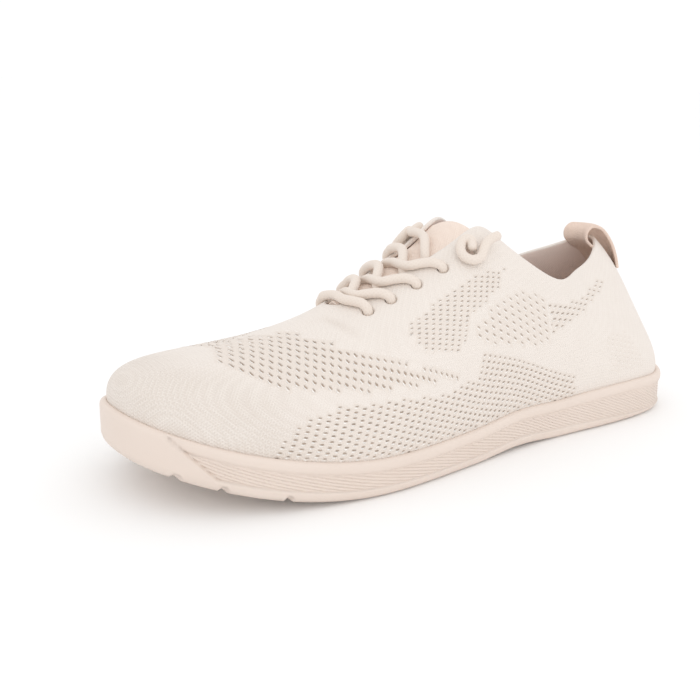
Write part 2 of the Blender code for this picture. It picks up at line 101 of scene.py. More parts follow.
# Openwork zones of one side: outline and lattice steps as (along, up from the rim). Twist 1 gives slanting
# comma holes and 0 small round ones; size is that of a zone's full holes
Zone = namedtuple("Zone", "outline row_step column_step twist size")
ZONES = [
    Zone([(243, 34), (239, 46), (228, 58), (209, 59), (201, 50), (187, 41), (172, 33), (147, 24),
          (174, 25), (205, 27), (227, 27), (237, 30)], (-2.6, -1.1), (1.55, -3.3), 1.0, 1.0),
    Zone([(238, 0), (223, 15), (205, 22), (185, 22), (160, 19), (138, 22), (134, 31), (110, 21),
          (78, 9), (76, 0)], (-2.9, -1.1), (1.1, -2.2), 0.0, 0.95),
    Zone([(167, 49), (147, 58), (131, 63), (112, 62), (120, 54), (136, 47), (147, 33), (165, 38)],
         (-3.0, -0.75), (0.8, -1.9), 0.0, 0.85),
    Zone([(141, 39), (126, 47), (107, 51), (96, 49), (90, 46.3), (90, 29.6), (103, 27), (120, 30)],
         (-4.0, -2.6), (0.2, -3.4), 0.6, 0.8),
    Zone([(90, 46.3), (83, 43), (63, 43), (40, 52), (36, 49), (60, 38), (82, 32), (90, 29.6)],
         (-3.6, -0.8), (2.9, -2.3), 0.0, 0.85),
    Zone([(54, 24), (36, 23), (26, 5), (54, 5)], (-2.9, -0.8), (1.2, -2.2), 0.0, 0.35),
]
ZONE_FADE = 2.5
SMALLEST_HOLE = 0.8
HOLE_LONG = 0.29
HOLE_SHORT = 0.18
TWIST_SLOPE = 0.45
PLAIN_SLOPE = -0.5
HOLE_BEND = 0.35
HOLE_EDGES = (0.5, 1.15)
HOLE_DEPTH = 0.55
THREAD_PLACE = (-0.35, 1.6)
THREAD_EDGES = (0.3, 1.1)
THREAD_RAISE = 0.2
EYELETS_ALONG = (123.0, 135.0, 147.5, 159.0, 168.5)
EYELET_INSET = 0.155
EYELET_RADIUS = 2.4
EYELET_DEPTH = 3.0
EYELET_PRESS = (0.55, 1.25)
EYELET_SHADE = (0.5, 0.9)
STITCH_FLOOR = 0.45
TOE_DOTS_ALONG = (205, 240)
TOE_DOTS_UP = (14, 40)
SMALLEST_SIZE = 0.05
FINE_MARGIN = 1.5
LINING_LEVEL = 1.75
EDGE_SAMPLES = 6001
CURVE_SAMPLES = 2001
RIM_SAMPLES = 1400


def unit(vectors):
    """Vectors, or a single one, at length 1."""
    return vectors / np.linalg.norm(vectors, axis=-1, keepdims=True)


def walked(points):
    """Distance walked along a line of points, from 0 at the first."""
    return np.concatenate([[0], np.cumsum(np.linalg.norm(np.diff(points, axis=0), axis=1))])


def closed_spline(rows, at):
    """Smooth closed curve through the rows, read at the given row numbers."""
    rows = np.asarray(rows, float)
    count = len(rows)
    system = 4 * np.eye(count) + np.roll(np.eye(count), 1, 0) + np.roll(np.eye(count), -1, 0)
    slopes = np.linalg.solve(system, 3 * (np.roll(rows, -1, 0) - np.roll(rows, 1, 0)))
    at = np.mod(np.asarray(at, float), count)
    first = np.floor(at).astype(int) % count
    second = (first + 1) % count
    part = (at - np.floor(at))[:, None]
    stay = 2 * part**3 - 3 * part**2 + 1
    return (stay * rows[first] + (1 - stay) * rows[second]
            + (part**3 - 2 * part**2 + part) * slopes[first] + (part**3 - part**2) * slopes[second])


def open_spline(places, values, at):
    """Smooth curve through values at rising places."""
    places = np.asarray(places, float)
    values = np.asarray(values, float)
    slopes = np.gradient(values, places)
    at = np.clip(at, places[0], places[-1])
    first = np.clip(np.searchsorted(places, at) - 1, 0, len(places) - 2)
    step = places[first + 1] - places[first]
    part = (at - places[first]) / step
    stay = 2 * part**3 - 3 * part**2 + 1
    return (stay * values[first] + (1 - stay) * values[first + 1]
            + step * (part**3 - 2 * part**2 + part) * slopes[first]
            + step * (part**3 - part**2) * slopes[first + 1])


def smoothstep(low, high, value):
    """Soft step from 0 at low to 1 at high."""
    part = np.clip((value - low) / (high - low), 0, 1)
    return part * part * (3 - 2 * part)


def sole_edge(at):
    """The sole's widest edge and its outward direction, seen from above."""
    columns = [(row.sole_along, row.sole_across) for row in SECTIONS]
    step = 0.01
    edge = closed_spline(columns, at)
    ahead = closed_spline(columns, np.asarray(at) + step) - closed_spline(columns, np.asarray(at) - step)
    outward = np.stack([-ahead[:, 1], ahead[:, 0]], axis=1)
    return edge, unit(outward)


def even_rows(count):
    """Row numbers at even distances around the sole, and the distance at each."""
    dense = np.linspace(0, AROUND, EDGE_SAMPLES)
    travelled = walked(sole_edge(dense)[0])
    distances = np.linspace(0, travelled[-1], count, endpoint=False)
    return np.interp(distances, travelled, dense), distances


def bottom(along):
    """Height of the sole's underside: heel bevel, arch and toe spring between two flat spots."""
    heel = np.clip((HEEL_FLAT[0] - along) / HEEL_FLAT[0], 0, 1)
    waist = np.clip((along - HEEL_FLAT[1]) / (FOREFOOT_FLAT[0] - HEEL_FLAT[1]), 0, 1)
    toe = np.clip((along - FOREFOOT_FLAT[1]) / (LENGTH - FOREFOOT_FLAT[1]), 0, 2)
    return HEEL_BEVEL * heel**2 + ARCH_RISE * np.sin(np.pi * waist)**2 + TOE_SPRING * toe**TOE_SPRING_POWER


def rim(along):
    """Height of the sole's rim."""
    return bottom(along) + open_spline(*zip(*RIM), along)


def wall(at, share):
    """Outer face of the upper: one curve for each row number, from the rim (0) to the topline (1)."""
    share = np.asarray(share, float)[:, None]
    columns = closed_spline(SECTIONS, at)
    edge, outward = sole_edge(at)
    foot = edge - outward * (RIM_THICKNESS + GAP)
    top = columns[:, 2:5]
    away = unit(foot - top[:, :2])
    rise, reach, drop = columns[:, 5:6], columns[:, 6:7], columns[:, 7:8]
    height = rim(edge[:, 0])[:, None]
    start = np.hstack([foot, height])
    low = np.hstack([foot + outward * WALL_FLARE, height + rise])
    high = top + np.hstack([away * reach, -drop])
    return ((1 - share)**3 * start + 3 * (1 - share)**2 * share * low
            + 3 * (1 - share) * share**2 * high + share**3 * top)


def wall_frame(at, share):
    """Point on the upper, direction up the wall, and outward normal."""
    at = np.asarray(at, float)
    share = np.asarray(share, float)
    step = 0.002
    point = wall(at, share)
    up = wall(at, share + step) - wall(at, share - step)
    along = wall(at + step, share) - wall(at - step, share)
    return point, unit(up), unit(np.cross(up, along))


def throat_row(along, side):
    """Row number whose topline point lies at this place along the throat, outer (1) or inner (-1)."""
    corner = OUTER_CORNER_ROW if side > 0 else INNER_CORNER_ROW
    rows = np.linspace(corner, TOE_ROW, CURVE_SAMPLES)
    places = np.maximum.accumulate(closed_spline(SECTIONS, rows)[:, 2])
    return float(np.interp(along, places, rows))


def in_frame(points):
    """Shoe millimetres to the frame's metres."""
    return (np.asarray(points, float) - [LENGTH / 2, 0, 0]) * MM


def mesh_piece(name, points, faces, uv=None):
    """Mesh object at the origin from shoe millimetres, with a UV pair per point if given."""
    mesh = bpy.data.meshes.new(name)
    mesh.from_pydata([tuple(point) for point in in_frame(points)], [], faces)
    if uv is not None:
        layer = mesh.uv_layers.new(name="UVMap")
        corners = np.zeros(len(mesh.loops), int)
        mesh.loops.foreach_get("vertex_index", corners)
        layer.data.foreach_set("uv", np.asarray(uv, np.float32)[corners].ravel())
    made = bpy.data.objects.new(name, mesh)
    bpy.context.collection.objects.link(made)
    mesh.shade_smooth()
    return made


def finish_piece(piece, slot, *nodes):
    """Ride on the shoe's body and stand for the solids it covers; the slot is not used."""
    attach(piece, "root")
    if nodes:
        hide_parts(*nodes)


def only_active(piece):
    bpy.ops.object.select_all(action="DESELECT")
    piece.select_set(True)
    bpy.context.view_layer.objects.active = piece


def surface_place(points):
    """For points on the upper: pairs of along and straight distance up from the nearest place on the rim."""
    rows, _ = even_rows(RIM_SAMPLES)
    edge, outward = sole_edge(rows)
    foot = edge - outward * (RIM_THICKNESS + GAP)
    foot_height = rim(edge[:, 0])
    girth = np.zeros(len(points))
    chunk = 3000
    for start in range(0, len(points), chunk):
        part = points[start:start + chunk]
        level = np.linalg.norm(part[:, None, :2] - foot[None], axis=2)
        near = np.argmin(level, axis=1)
        nearest = level[np.arange(len(part)), near]
        girth[start:start + chunk] = np.hypot(nearest, part[:, 2] - foot_height[near])
    return np.column_stack([points[:, 0], girth])


def inside_distance(points, outline):
    """Signed distance of points to a closed outline, positive inside."""
    outline = np.asarray(outline, float)
    following = np.roll(outline, -1, 0)
    nearest = np.full(len(points), 1e9)
    odd = np.zeros(len(points), bool)
    for a, b in zip(outline, following):
        span = b - a
        part = np.clip(((points - a) @ span) / (span @ span), 0, 1)
        nearest = np.minimum(nearest, np.linalg.norm(points - a - part[:, None] * span, axis=1))
        crosses = (a[1] > points[:, 1]) != (b[1] > points[:, 1])
        reach = a[0] + (points[:, 1] - a[1]) / (span[1] if span[1] else 1e-9) * span[0]
        odd ^= crosses & (points[:, 0] < reach)
    return np.where(odd, nearest, -nearest)


def zone_margins(place):
    """Number of the nearest openwork zone at each place, and the distance inside its outline."""
    margins = np.stack([inside_distance(place, zone.outline) for zone in ZONES])
    return np.argmax(margins, axis=0), margins.max(axis=0)


def lattice_count(place, zone):
    """Places counted in a zone's own rows and columns, with a hole at every whole number."""
    return place @ np.linalg.inv(np.array([zone.row_step, zone.column_step], float))


def openwork(place, nearest):
    """Relief of the knitted holes at places on the upper, and the size and twist of the hole at each."""
    relief, size, twist = np.zeros(len(place)), np.zeros(len(place)), np.zeros(len(place))
    for number, zone in enumerate(ZONES):
        here = nearest == number
        count = lattice_count(place[here], zone)
        whole = np.round(count)
        margin = inside_distance(whole @ np.array([zone.row_step, zone.column_step], float), zone.outline)
        full = SMALLEST_HOLE + (1 - SMALLEST_HOLE) * smoothstep(0, ZONE_FADE, margin)
        size[here] = np.where(margin > 0, zone.size * full, 0)
        twist[here] = zone.twist
        row_off, column_off = (count - whole).T
        long_way = row_off / HOLE_LONG
        slope = PLAIN_SLOPE + (TWIST_SLOPE - PLAIN_SLOPE) * zone.twist
        short_way = (column_off - slope * row_off) / HOLE_SHORT + HOLE_BEND * zone.twist * long_way**2
        radius = np.hypot(long_way, short_way) / np.maximum(size[here], SMALLEST_SIZE)
        from_thread = np.hypot(long_way - THREAD_PLACE[0], short_way - THREAD_PLACE[1])
        pressed = HOLE_DEPTH * (1 - smoothstep(*HOLE_EDGES, radius))
        raised = THREAD_RAISE * (1 - smoothstep(*THREAD_EDGES, from_thread))
        relief[here] = size[here] * (raised - pressed)
    return relief, size, twist


UPPER_STATIONS = 420
UPPER_ROWS = 52
ROLL_ROWS = 6
INSIDE_ROWS = 16
upper_rows, _ = even_rows(UPPER_STATIONS)
levels = np.concatenate([[-0.05], np.linspace(0, 1, UPPER_ROWS + 1), 1 + np.arange(1, ROLL_ROWS) / ROLL_ROWS,
                         np.linspace(2, 3, INSIDE_ROWS + 1), [3.05]])
station_number = np.arange(UPPER_STATIONS + 1) % UPPER_STATIONS
quads = []
wall_uv = []
rows_closed = np.append(upper_rows, AROUND)
for level_number in range(len(levels)):
    following_level = (level_number + 1) % len(levels)
    for i in range(UPPER_STATIONS):
        here, ahead = station_number[i], station_number[i + 1]
        quads.append((level_number * UPPER_STATIONS + here, level_number * UPPER_STATIONS + ahead,
                      following_level * UPPER_STATIONS + ahead, following_level * UPPER_STATIONS + here))
        wall_uv += [(rows_closed[i], levels[level_number]), (rows_closed[i + 1], levels[level_number]),
                    (rows_closed[i + 1], levels[following_level]), (rows_closed[i], levels[following_level])]


def upper_surface(row, level):
    """Point and outward normal of the upper's closed shell: outer face, rolled edge, then inner face."""
    share = np.where(level <= 1, level, np.where(level < 2, 1.0, 3 - level))
    point, up, normal = wall_frame(row, np.clip(share, 0, 1))
    turn = np.pi * np.clip(level - 1, 0, 1)
    core = point - normal * WALL / 2
    out = normal * np.cos(turn)[:, None] + up * np.sin(turn)[:, None]
    placed = core + out * WALL / 2
    in_cup = (level < 0) | (level > 3)
    placed[in_cup, 2] = bottom(placed[in_cup, 0]) + SOLE_THICKNESS + GAP
    return placed, out


base_row = np.tile(upper_rows, len(levels))
base_level = np.repeat(levels, UPPER_STATIONS)
base_points, _ = upper_surface(base_row, base_level)
upper = mesh_piece("upper_knit", base_points, quads)
layer = upper.data.uv_layers.new(name="UVMap")
layer.data.foreach_set("uv", np.array(wall_uv, np.float32).ravel())

eyelet_rows = [throat_row(place, side) for side in (1, -1) for place in EYELETS_ALONG]
eyelet_points, _, _ = wall_frame(eyelet_rows, np.full(len(eyelet_rows), 1 - EYELET_INSET))
_, zone_margin = zone_margins(surface_place(base_points))
eyelet_gap = np.linalg.norm(base_points[:, None] - eyelet_points[None], axis=2).min(axis=1)
fine = (zone_margin > -FINE_MARGIN) | (eyelet_gap < 2 * EYELET_RADIUS)
fine = fine & (base_level >= 0) & (base_level <= 1)
only_active(upper)
bpy.ops.object.mode_set(mode="EDIT")
bpy.ops.mesh.select_mode(type="FACE")
bpy.ops.mesh.select_all(action="DESELECT")
bpy.ops.object.mode_set(mode="OBJECT")
for face in upper.data.polygons:
    face.select = all(fine[corner] for corner in face.vertices)
bpy.ops.object.mode_set(mode="EDIT")
bpy.ops.mesh.subdivide(number_cuts=2)
bpy.ops.object.mode_set(mode="OBJECT")

corner_vertex = np.zeros(len(upper.data.loops), int)
upper.data.loops.foreach_get("vertex_index", corner_vertex)
corner_uv = np.zeros(len(upper.data.loops) * 2, np.float32)
upper.data.uv_layers["UVMap"].data.foreach_get("uv", corner_uv)
point_uv = np.zeros((len(upper.data.vertices), 2))
point_uv[corner_vertex] = corner_uv.reshape(-1, 2)
row_of, level_of = point_uv[:, 0] % AROUND, point_uv[:, 1]
points, normals = upper_surface(row_of, level_of)
outside = level_of <= 1
knit_place = surface_place(points)
nearest_zone, _ = zone_margins(knit_place)
relief, hole_size, hole_twist = openwork(knit_place, nearest_zone)
relief = np.where(outside, relief, 0)
hole_size = np.where(outside, hole_size, 0)
# Each eyelet presses a dent into the knit, and its mask marks painted shade in and round the dent
eyelet_shade = np.zeros(len(points))
for centre in eyelet_points:
    gap = np.linalg.norm(points - centre, axis=1) / EYELET_RADIUS
    pressed = 1 - smoothstep(*EYELET_PRESS, gap)
    relief = np.where(outside, relief - EYELET_DEPTH * pressed, relief)
    eyelet_shade = np.where(outside, np.maximum(eyelet_shade, 1 - smoothstep(*EYELET_SHADE, gap)), 0)

# Soft folds pressed into the knit: a trough and a ridge across the vamp below the lowest lace, and a trough
# opposite them on the inner side
Fold = namedtuple("Fold", "start end width depth")
FOLDS = [Fold((193, 6, 63), (186, 29, 56), 2.2, 1.1), Fold((197, 9, 61.5), (190, 33, 53), 4.0, -0.9),
         Fold((192, -9, 62), (186, -27, 52), 3.0, 0.7)]
# The troughs' depth also marks painted shade, which darkens the knit's colour along them
crease_shade = np.zeros(len(points))
for fold in FOLDS:
    start, end = np.array(fold.start, float), np.array(fold.end, float)
    span = end - start
    part = np.clip(((points - start) @ span) / (span @ span), 0, 1)
    gap = np.linalg.norm(points - start - part[:, None] * span, axis=1)
    fades = np.sin(np.pi * np.clip(part, 0.02, 0.98))
    pressed = np.where(outside, fold.depth * fades * np.exp(-(gap / fold.width)**2), 0)
    relief = relief - pressed
    crease_shade = np.maximum(crease_shade, pressed)

points = points + normals * relief[:, None]
upper.data.vertices.foreach_set("co", in_frame(points).astype(np.float32).ravel())
toe_dots = smoothstep(*TOE_DOTS_ALONG, knit_place[:, 0]) * (1 - smoothstep(*TOE_DOTS_UP, knit_place[:, 1]))
for name, values in (("eyelet", eyelet_shade), ("hole_size", hole_size), ("hole_twist", hole_twist),
                     ("crease_shade", crease_shade), ("stitch", STITCH_FLOOR + (1 - STITCH_FLOOR) * toe_dots)):
    attribute = upper.data.attributes.new(name, "FLOAT", "POINT")
    attribute.data.foreach_set("value", values.astype(np.float32))
face_count = len(upper.data.polygons)
corner_start = np.zeros(face_count, int)
corner_count = np.zeros(face_count, int)
upper.data.polygons.foreach_get("loop_start", corner_start)
upper.data.polygons.foreach_get("loop_total", corner_count)
corner_zone = np.repeat(nearest_zone[corner_vertex[corner_start]], corner_count)
lattice_uv = np.zeros((len(corner_vertex), 2), np.float32)
for number, zone in enumerate(ZONES):
    here = corner_zone == number
    lattice_uv[here] = lattice_count(knit_place[corner_vertex[here]], zone)
upper.data.uv_layers["UVMap"].data.foreach_set("uv", lattice_uv.ravel())
lining_faces = level_of[corner_vertex[corner_start]] > LINING_LEVEL
upper.data.polygons.foreach_set("material_index", lining_faces.astype(int))
upper.data.update()


def new_group(name, inputs, outputs):
    """Shader node group with named sockets; inputs are (name, kind, default)."""
    group = bpy.data.node_groups.new(name, "ShaderNodeTree")
    for socket_name, kind, default in inputs:
        socket = group.interface.new_socket(socket_name, in_out="INPUT", socket_type=kind)
        if default is not None:
            socket.default_value = default
    for socket_name, kind in outputs:
        group.interface.new_socket(socket_name, in_out="OUTPUT", socket_type=kind)
    return group, group.nodes.new("NodeGroupInput"), group.nodes.new("NodeGroupOutput")


def feed(tree, socket, value):
    """Link a socket to another, or give it a number or a plain colour."""
    if hasattr(value, "is_linked"):
        tree.links.new(value, socket)
    else:
        socket.default_value = (*value, 1.0) if isinstance(value, tuple) else value


def math_node(tree, operation, *values):
    """Math node whose inputs are sockets or numbers; gives its output socket."""
    node = tree.nodes.new("ShaderNodeMath")
    node.operation = operation
    for socket, value in zip(node.inputs, values):
        feed(tree, socket, value)
    return node.outputs[0]


def mix_colour(tree, factor, first, second):
    """Colour mix of sockets or plain colours."""
    node = tree.nodes.new("ShaderNodeMix")
    node.data_type = "RGBA"
    feed(tree, node.inputs["Factor"], factor)
    feed(tree, node.inputs[6], first)
    feed(tree, node.inputs[7], second)
    return node.outputs[2]


# Knit stitches as a fine lattice of small loops in object space, for every knitted piece; their shade
# is painted shade in the hollows between the loops, mixed with random tone
knit_group, group_in, group_out = new_group(
    "knit_stitches", [("Stitch mm", "NodeSocketFloat", 1.3)],
    [("Height", "NodeSocketFloat"), ("Shade", "NodeSocketFloat")])
place = knit_group.nodes.new("ShaderNodeTexCoord")
split = knit_group.nodes.new("ShaderNodeSeparateXYZ")
knit_group.links.new(place.outputs["Object"], split.inputs[0])
knit_math = partial(math_node, knit_group)
turns = knit_math("DIVIDE", 2 * math.pi / MM, group_in.outputs["Stitch mm"])
sines, cosines = [], []
for axis in split.outputs:
    angle = knit_math("MULTIPLY", axis, turns)
    sines.append(knit_math("SINE", angle))
    cosines.append(knit_math("COSINE", angle))
loops = knit_math("MULTIPLY", sines[0], cosines[1])
loops = knit_math("MULTIPLY_ADD", sines[1], cosines[2], loops)
loops = knit_math("MULTIPLY_ADD", sines[2], cosines[0], loops)
height = knit_math("MULTIPLY_ADD", loops, 0.35, 0.5)
knit_group.links.new(height, group_out.inputs["Height"])
blot = knit_group.nodes.new("ShaderNodeTexNoise")
blot.inputs["Scale"].default_value = 90.0
knit_group.links.new(place.outputs["Object"], blot.inputs["Vector"])
# The shade is painted shade following the loops' hollows, mixed half and half with random tone from noise
shade = knit_math("MULTIPLY", height, 0.5)
shade = knit_math("MULTIPLY_ADD", blot.outputs[0], 0.5, shade)
knit_group.links.new(shade, group_out.inputs["Shade"])


def principled(name, colour, roughness):
    """Material with its Principled BSDF, ready for its own nodes."""
    made = bpy.data.materials.new(name)
    made.use_nodes = True
    shader = made.node_tree.nodes["Principled BSDF"]
    shader.inputs["Base Color"].default_value = (*colour, 1.0)
    shader.inputs["Roughness"].default_value = roughness
    return made, made.node_tree, shader


def uv_of(tree):
    node = tree.nodes.new("ShaderNodeUVMap")
    node.uv_map = "UVMap"
    return node.outputs["UV"]


def attribute_of(tree, name):
    node = tree.nodes.new("ShaderNodeAttribute")
    node.attribute_name = name
    return node.outputs["Fac"]


def bump_into(tree, shader, height, strength, distance):
    bump = tree.nodes.new("ShaderNodeBump")
    bump.inputs["Strength"].default_value = strength
    bump.inputs["Distance"].default_value = distance
    tree.links.new(height, bump.inputs["Height"])
    tree.links.new(bump.outputs[0], shader.inputs["Normal"])


def use_group(tree, group, **values):
    node = tree.nodes.new("ShaderNodeGroup")
    node.node_tree = group
    for socket_name, value in values.items():
        feed(tree, node.inputs[socket_name.replace("_", " ")], value)
    return node


def cloth(name, dark, light, roughness, stitch, strength, distance):
    """Plain knitted or woven cloth, with painted shade between its stitches."""
    made, tree, shader = principled(name, light, roughness)
    weave = use_group(tree, knit_group, Stitch_mm=stitch)
    tree.links.new(mix_colour(tree, weave.outputs["Shade"], dark, light), shader.inputs["Base Color"])
    bump_into(tree, shader, weave.outputs["Height"], strength, distance)
    return made


# Openwork holes on a zone's lattice: each hole with painted shade, and the thread looped along its lower
# edge with a painted highlight
hole_group, group_in, group_out = new_group(
    "openwork_holes", [("Count", "NodeSocketVector", None), ("Size", "NodeSocketFloat", 0.0),
                       ("Twist", "NodeSocketFloat", 0.0)],
    [("Hole", "NodeSocketFloat"), ("Thread", "NodeSocketFloat")])


def soft_fall(tree, value, edges):
    """1 below the first edge, falling softly to 0 at the second."""
    node = tree.nodes.new("ShaderNodeMapRange")
    node.interpolation_type = "SMOOTHSTEP"
    tree.links.new(value, node.inputs["Value"])
    node.inputs["From Min"].default_value = edges[0]
    node.inputs["From Max"].default_value = edges[1]
    node.inputs["To Min"].default_value = 1.0
    node.inputs["To Max"].default_value = 0.0
    return node.outputs["Result"]


def length_of(tree, first, second):
    squares = math_node(tree, "MULTIPLY_ADD", second, second, math_node(tree, "MULTIPLY", first, first))
    return math_node(tree, "SQRT", squares)


split = hole_group.nodes.new("ShaderNodeSeparateXYZ")
hole_group.links.new(group_in.outputs["Count"], split.inputs[0])
hole_math = partial(math_node, hole_group)
row_off, column_off = [hole_math("SUBTRACT", count, hole_math("ROUND", count))
                       for count in split.outputs[:2]]
twist, size = group_in.outputs["Twist"], group_in.outputs["Size"]
slope = hole_math("MULTIPLY_ADD", twist, TWIST_SLOPE - PLAIN_SLOPE, PLAIN_SLOPE)
long_way = hole_math("DIVIDE", row_off, HOLE_LONG)
across = hole_math("SUBTRACT", column_off, hole_math("MULTIPLY", slope, row_off))
bend = hole_math("MULTIPLY", hole_math("MULTIPLY", long_way, long_way),
                 hole_math("MULTIPLY", twist, HOLE_BEND))
short_way = hole_math("ADD", hole_math("DIVIDE", across, HOLE_SHORT), bend)
radius = hole_math("DIVIDE", length_of(hole_group, long_way, short_way),
                   hole_math("MAXIMUM", size, SMALLEST_SIZE))
from_thread = length_of(hole_group, hole_math("SUBTRACT", long_way, THREAD_PLACE[0]),
                        hole_math("SUBTRACT", short_way, THREAD_PLACE[1]))
for output, distance, edges in (("Hole", radius, HOLE_EDGES), ("Thread", from_thread, THREAD_EDGES)):
    mask = hole_math("MULTIPLY", soft_fall(hole_group, distance, edges), size)
    hole_group.links.new(mask, group_out.inputs[output])

KNIT_CREAM = (0.83, 0.767, 0.714)
# Painted shade between the stitches and along the folds' troughs
KNIT_SHADE = (0.64, 0.555, 0.485)
ZONE_SHADE = (0.74, 0.655, 0.585)
ZONE_CONTRAST = 0.6
# Painted highlight on the thread along each hole's lower edge
THREAD_PAINTED_HIGHLIGHT = (0.93, 0.89, 0.85)
# Painted shade inside the holes and in the eyelets' dents
HOLE_PAINTED_SHADE = (0.47, 0.365, 0.29)
# Strengths of the painted shade between the stitches and along the folds' troughs
STITCH_CONTRAST = 0.7
CREASE_PAINTED_SHADE = 0.3
knit_material, tree, shader = principled("cream_knit", KNIT_CREAM, 0.85)
stitches = use_group(tree, knit_group, Stitch_mm=1.35)
in_zone = attribute_of(tree, "hole_size")
holes = use_group(tree, hole_group, Count=uv_of(tree), Size=in_zone, Twist=attribute_of(tree, "hole_twist"))
strength = attribute_of(tree, "stitch")
# Painted shade: darker between the stitches and along the folds' troughs
gap_shade = math_node(tree, "SUBTRACT", 1.0, stitches.outputs["Shade"])
gap_shade = math_node(tree, "MULTIPLY", math_node(tree, "MULTIPLY", gap_shade, strength), STITCH_CONTRAST)
gap_shade = math_node(tree, "MULTIPLY_ADD", attribute_of(tree, "crease_shade"), CREASE_PAINTED_SHADE, gap_shade)
yarn_and_painted_light = mix_colour(tree, gap_shade, KNIT_CREAM, KNIT_SHADE)
yarn_and_painted_light = mix_colour(tree, math_node(tree, "MULTIPLY", in_zone, ZONE_CONTRAST), yarn_and_painted_light, ZONE_SHADE)
# Painted highlight on each hole's thread
yarn_and_painted_light = mix_colour(tree, holes.outputs["Thread"], yarn_and_painted_light, THREAD_PAINTED_HIGHLIGHT)
# Painted shade inside the holes and in the eyelets' dents
dark = math_node(tree, "MAXIMUM", holes.outputs["Hole"], attribute_of(tree, "eyelet"))
tree.links.new(mix_colour(tree, dark, yarn_and_painted_light, HOLE_PAINTED_SHADE), shader.inputs["Base Color"])
shader.inputs["Sheen Weight"].default_value = 0.1
shader.inputs["Sheen Roughness"].default_value = 0.5
knit_height = math_node(tree, "MULTIPLY", stitches.outputs["Height"], strength)
knit_height = math_node(tree, "ADD", knit_height, holes.outputs["Thread"])
knit_height = math_node(tree, "SUBTRACT", knit_height, holes.outputs["Hole"])
bump_into(tree, shader, knit_height, 0.5, 0.0004)

LINING_PINK = (0.92, 0.79, 0.72)
LINING_SHADE = (0.84, 0.70, 0.63)
lining_material = cloth("pink_lining", LINING_SHADE, LINING_PINK, 0.95, 1.0, 0.3, 0.0002)
upper.data.materials.append(knit_material)
upper.data.materials.append(lining_material)
finish_piece(upper, "upper_knit", "upper")

# Sole: one cup of soft moulded rubber, glued to the upper along its rim. A plain lip runs round the top,
# fine slanting ribs below it, and a smooth bumper wraps the toe; shallow grooves cross the tread.
LIP_HEIGHT = 5.0
LIP_PROUD = 0.7
RIB_DEPTH = 0.7
RIB_PITCH = 1.35
RIB_SINK = 0.2
RIB_ROUNDNESS = 0.6
RIB_MIDDLE = 0.65
RIB_END_ROWS = (2.5, 1.5)
BUMPER_EDGE = 0.3
BEHIND_BUMPER = 0.5
LIP_TURN = 1.2
SEAT_DROP = 0.3
BAND_PROUD = 0.45
BUMPER_LIP_END = 271.0
BUMPER_SLANT = 1.3
BUMPER_STEP = 0.9
BUMPER_STEP_LENGTH = 9.0
BUMPER_GROOVE = 0.6
BUMPER_GROOVE_WIDTH = 0.6
RIM_SEAT = 2.25
EDGE_INSET = 2.6
EDGE_RISE = 1.6
SOLE_STATIONS = 1300
RIB_ROWS = 30
SLOT_HALF_WIDTH = 1.3
SLOT_DEPTH = 1.3
TreadSlot = namedtuple("TreadSlot", "along half_length")
SLOTS = [TreadSlot(*row) for row in (
    (32, 22), (50, 25), (68, 27), (152, 34), (170, 38), (190, 40), (210, 40), (231, 70), (253, 70),
    (267, 70))]
RibRow = namedtuple("RibRow", "along slope")
RIB_SLOPE = [RibRow(*row) for row in (
    (0, 0.42), (60, 0.44), (110, 0.40), (170, 0.24), (225, 0.13), (281, 0.14))]
BandRow = namedtuple("BandRow", "along share")
RIB_BAND = [BandRow(*row) for row in ((0, 0.80), (30, 0.78), (80, 0.64), (140, 0.60), (281, 0.58))]

sole_rows, sole_distances = even_rows(SOLE_STATIONS)
edge, outward = sole_edge(sole_rows)
low_line = bottom(edge[:, 0])
high_line = rim(edge[:, 0])
band_top = high_line - LIP_HEIGHT
band_height = (band_top - low_line) * open_spline(*zip(*RIB_BAND), edge[:, 0])
toe_station = int(np.argmax(edge[:, 0]))
heel_station = int(np.argmin(edge[:, 0]))
rib_fall = open_spline(*zip(*RIB_SLOPE), edge[:, 0])
rib_fall = rib_fall * (sole_distances[1] - sole_distances[0])
outer_fall = np.cumsum(rib_fall[:toe_station + 1][::-1])[::-1]
rib_fall = np.concatenate([outer_fall, np.cumsum(rib_fall[toe_station + 1:])])


def slot_depth(along, across):
    """Depth of the tread slots at places under the sole."""
    depth = np.zeros(np.shape(along))
    for slot in SLOTS:
        gap = np.abs(along - slot.along)
        inside = 1 - smoothstep(SLOT_HALF_WIDTH - 0.5, SLOT_HALF_WIDTH + 0.5, gap)
        within = 1 - smoothstep(slot.half_length - 1, slot.half_length + 1, np.abs(across))
        depth = np.maximum(depth, SLOT_DEPTH * inside * within)
    return depth


def side_loop(offset, height):
    plan = edge + outward * np.broadcast_to(offset, (SOLE_STATIONS,))[:, None]
    return np.column_stack([plan, np.broadcast_to(height, (SOLE_STATIONS,))])


def bumper_share(height):
    """1 on the toe bumper and 0 behind its slanting edge, and the step down behind that edge."""
    ahead = edge[:, 0] - (BUMPER_LIP_END - BUMPER_SLANT * (high_line - height))
    groove = BUMPER_GROOVE * np.exp(-((ahead + BUMPER_GROOVE_WIDTH) / BUMPER_GROOVE_WIDTH)**2)
    step_down = BUMPER_STEP * np.exp(np.minimum(ahead, 0) / BUMPER_STEP_LENGTH)
    return smoothstep(-BUMPER_EDGE, BUMPER_EDGE, ahead), -step_down - groove


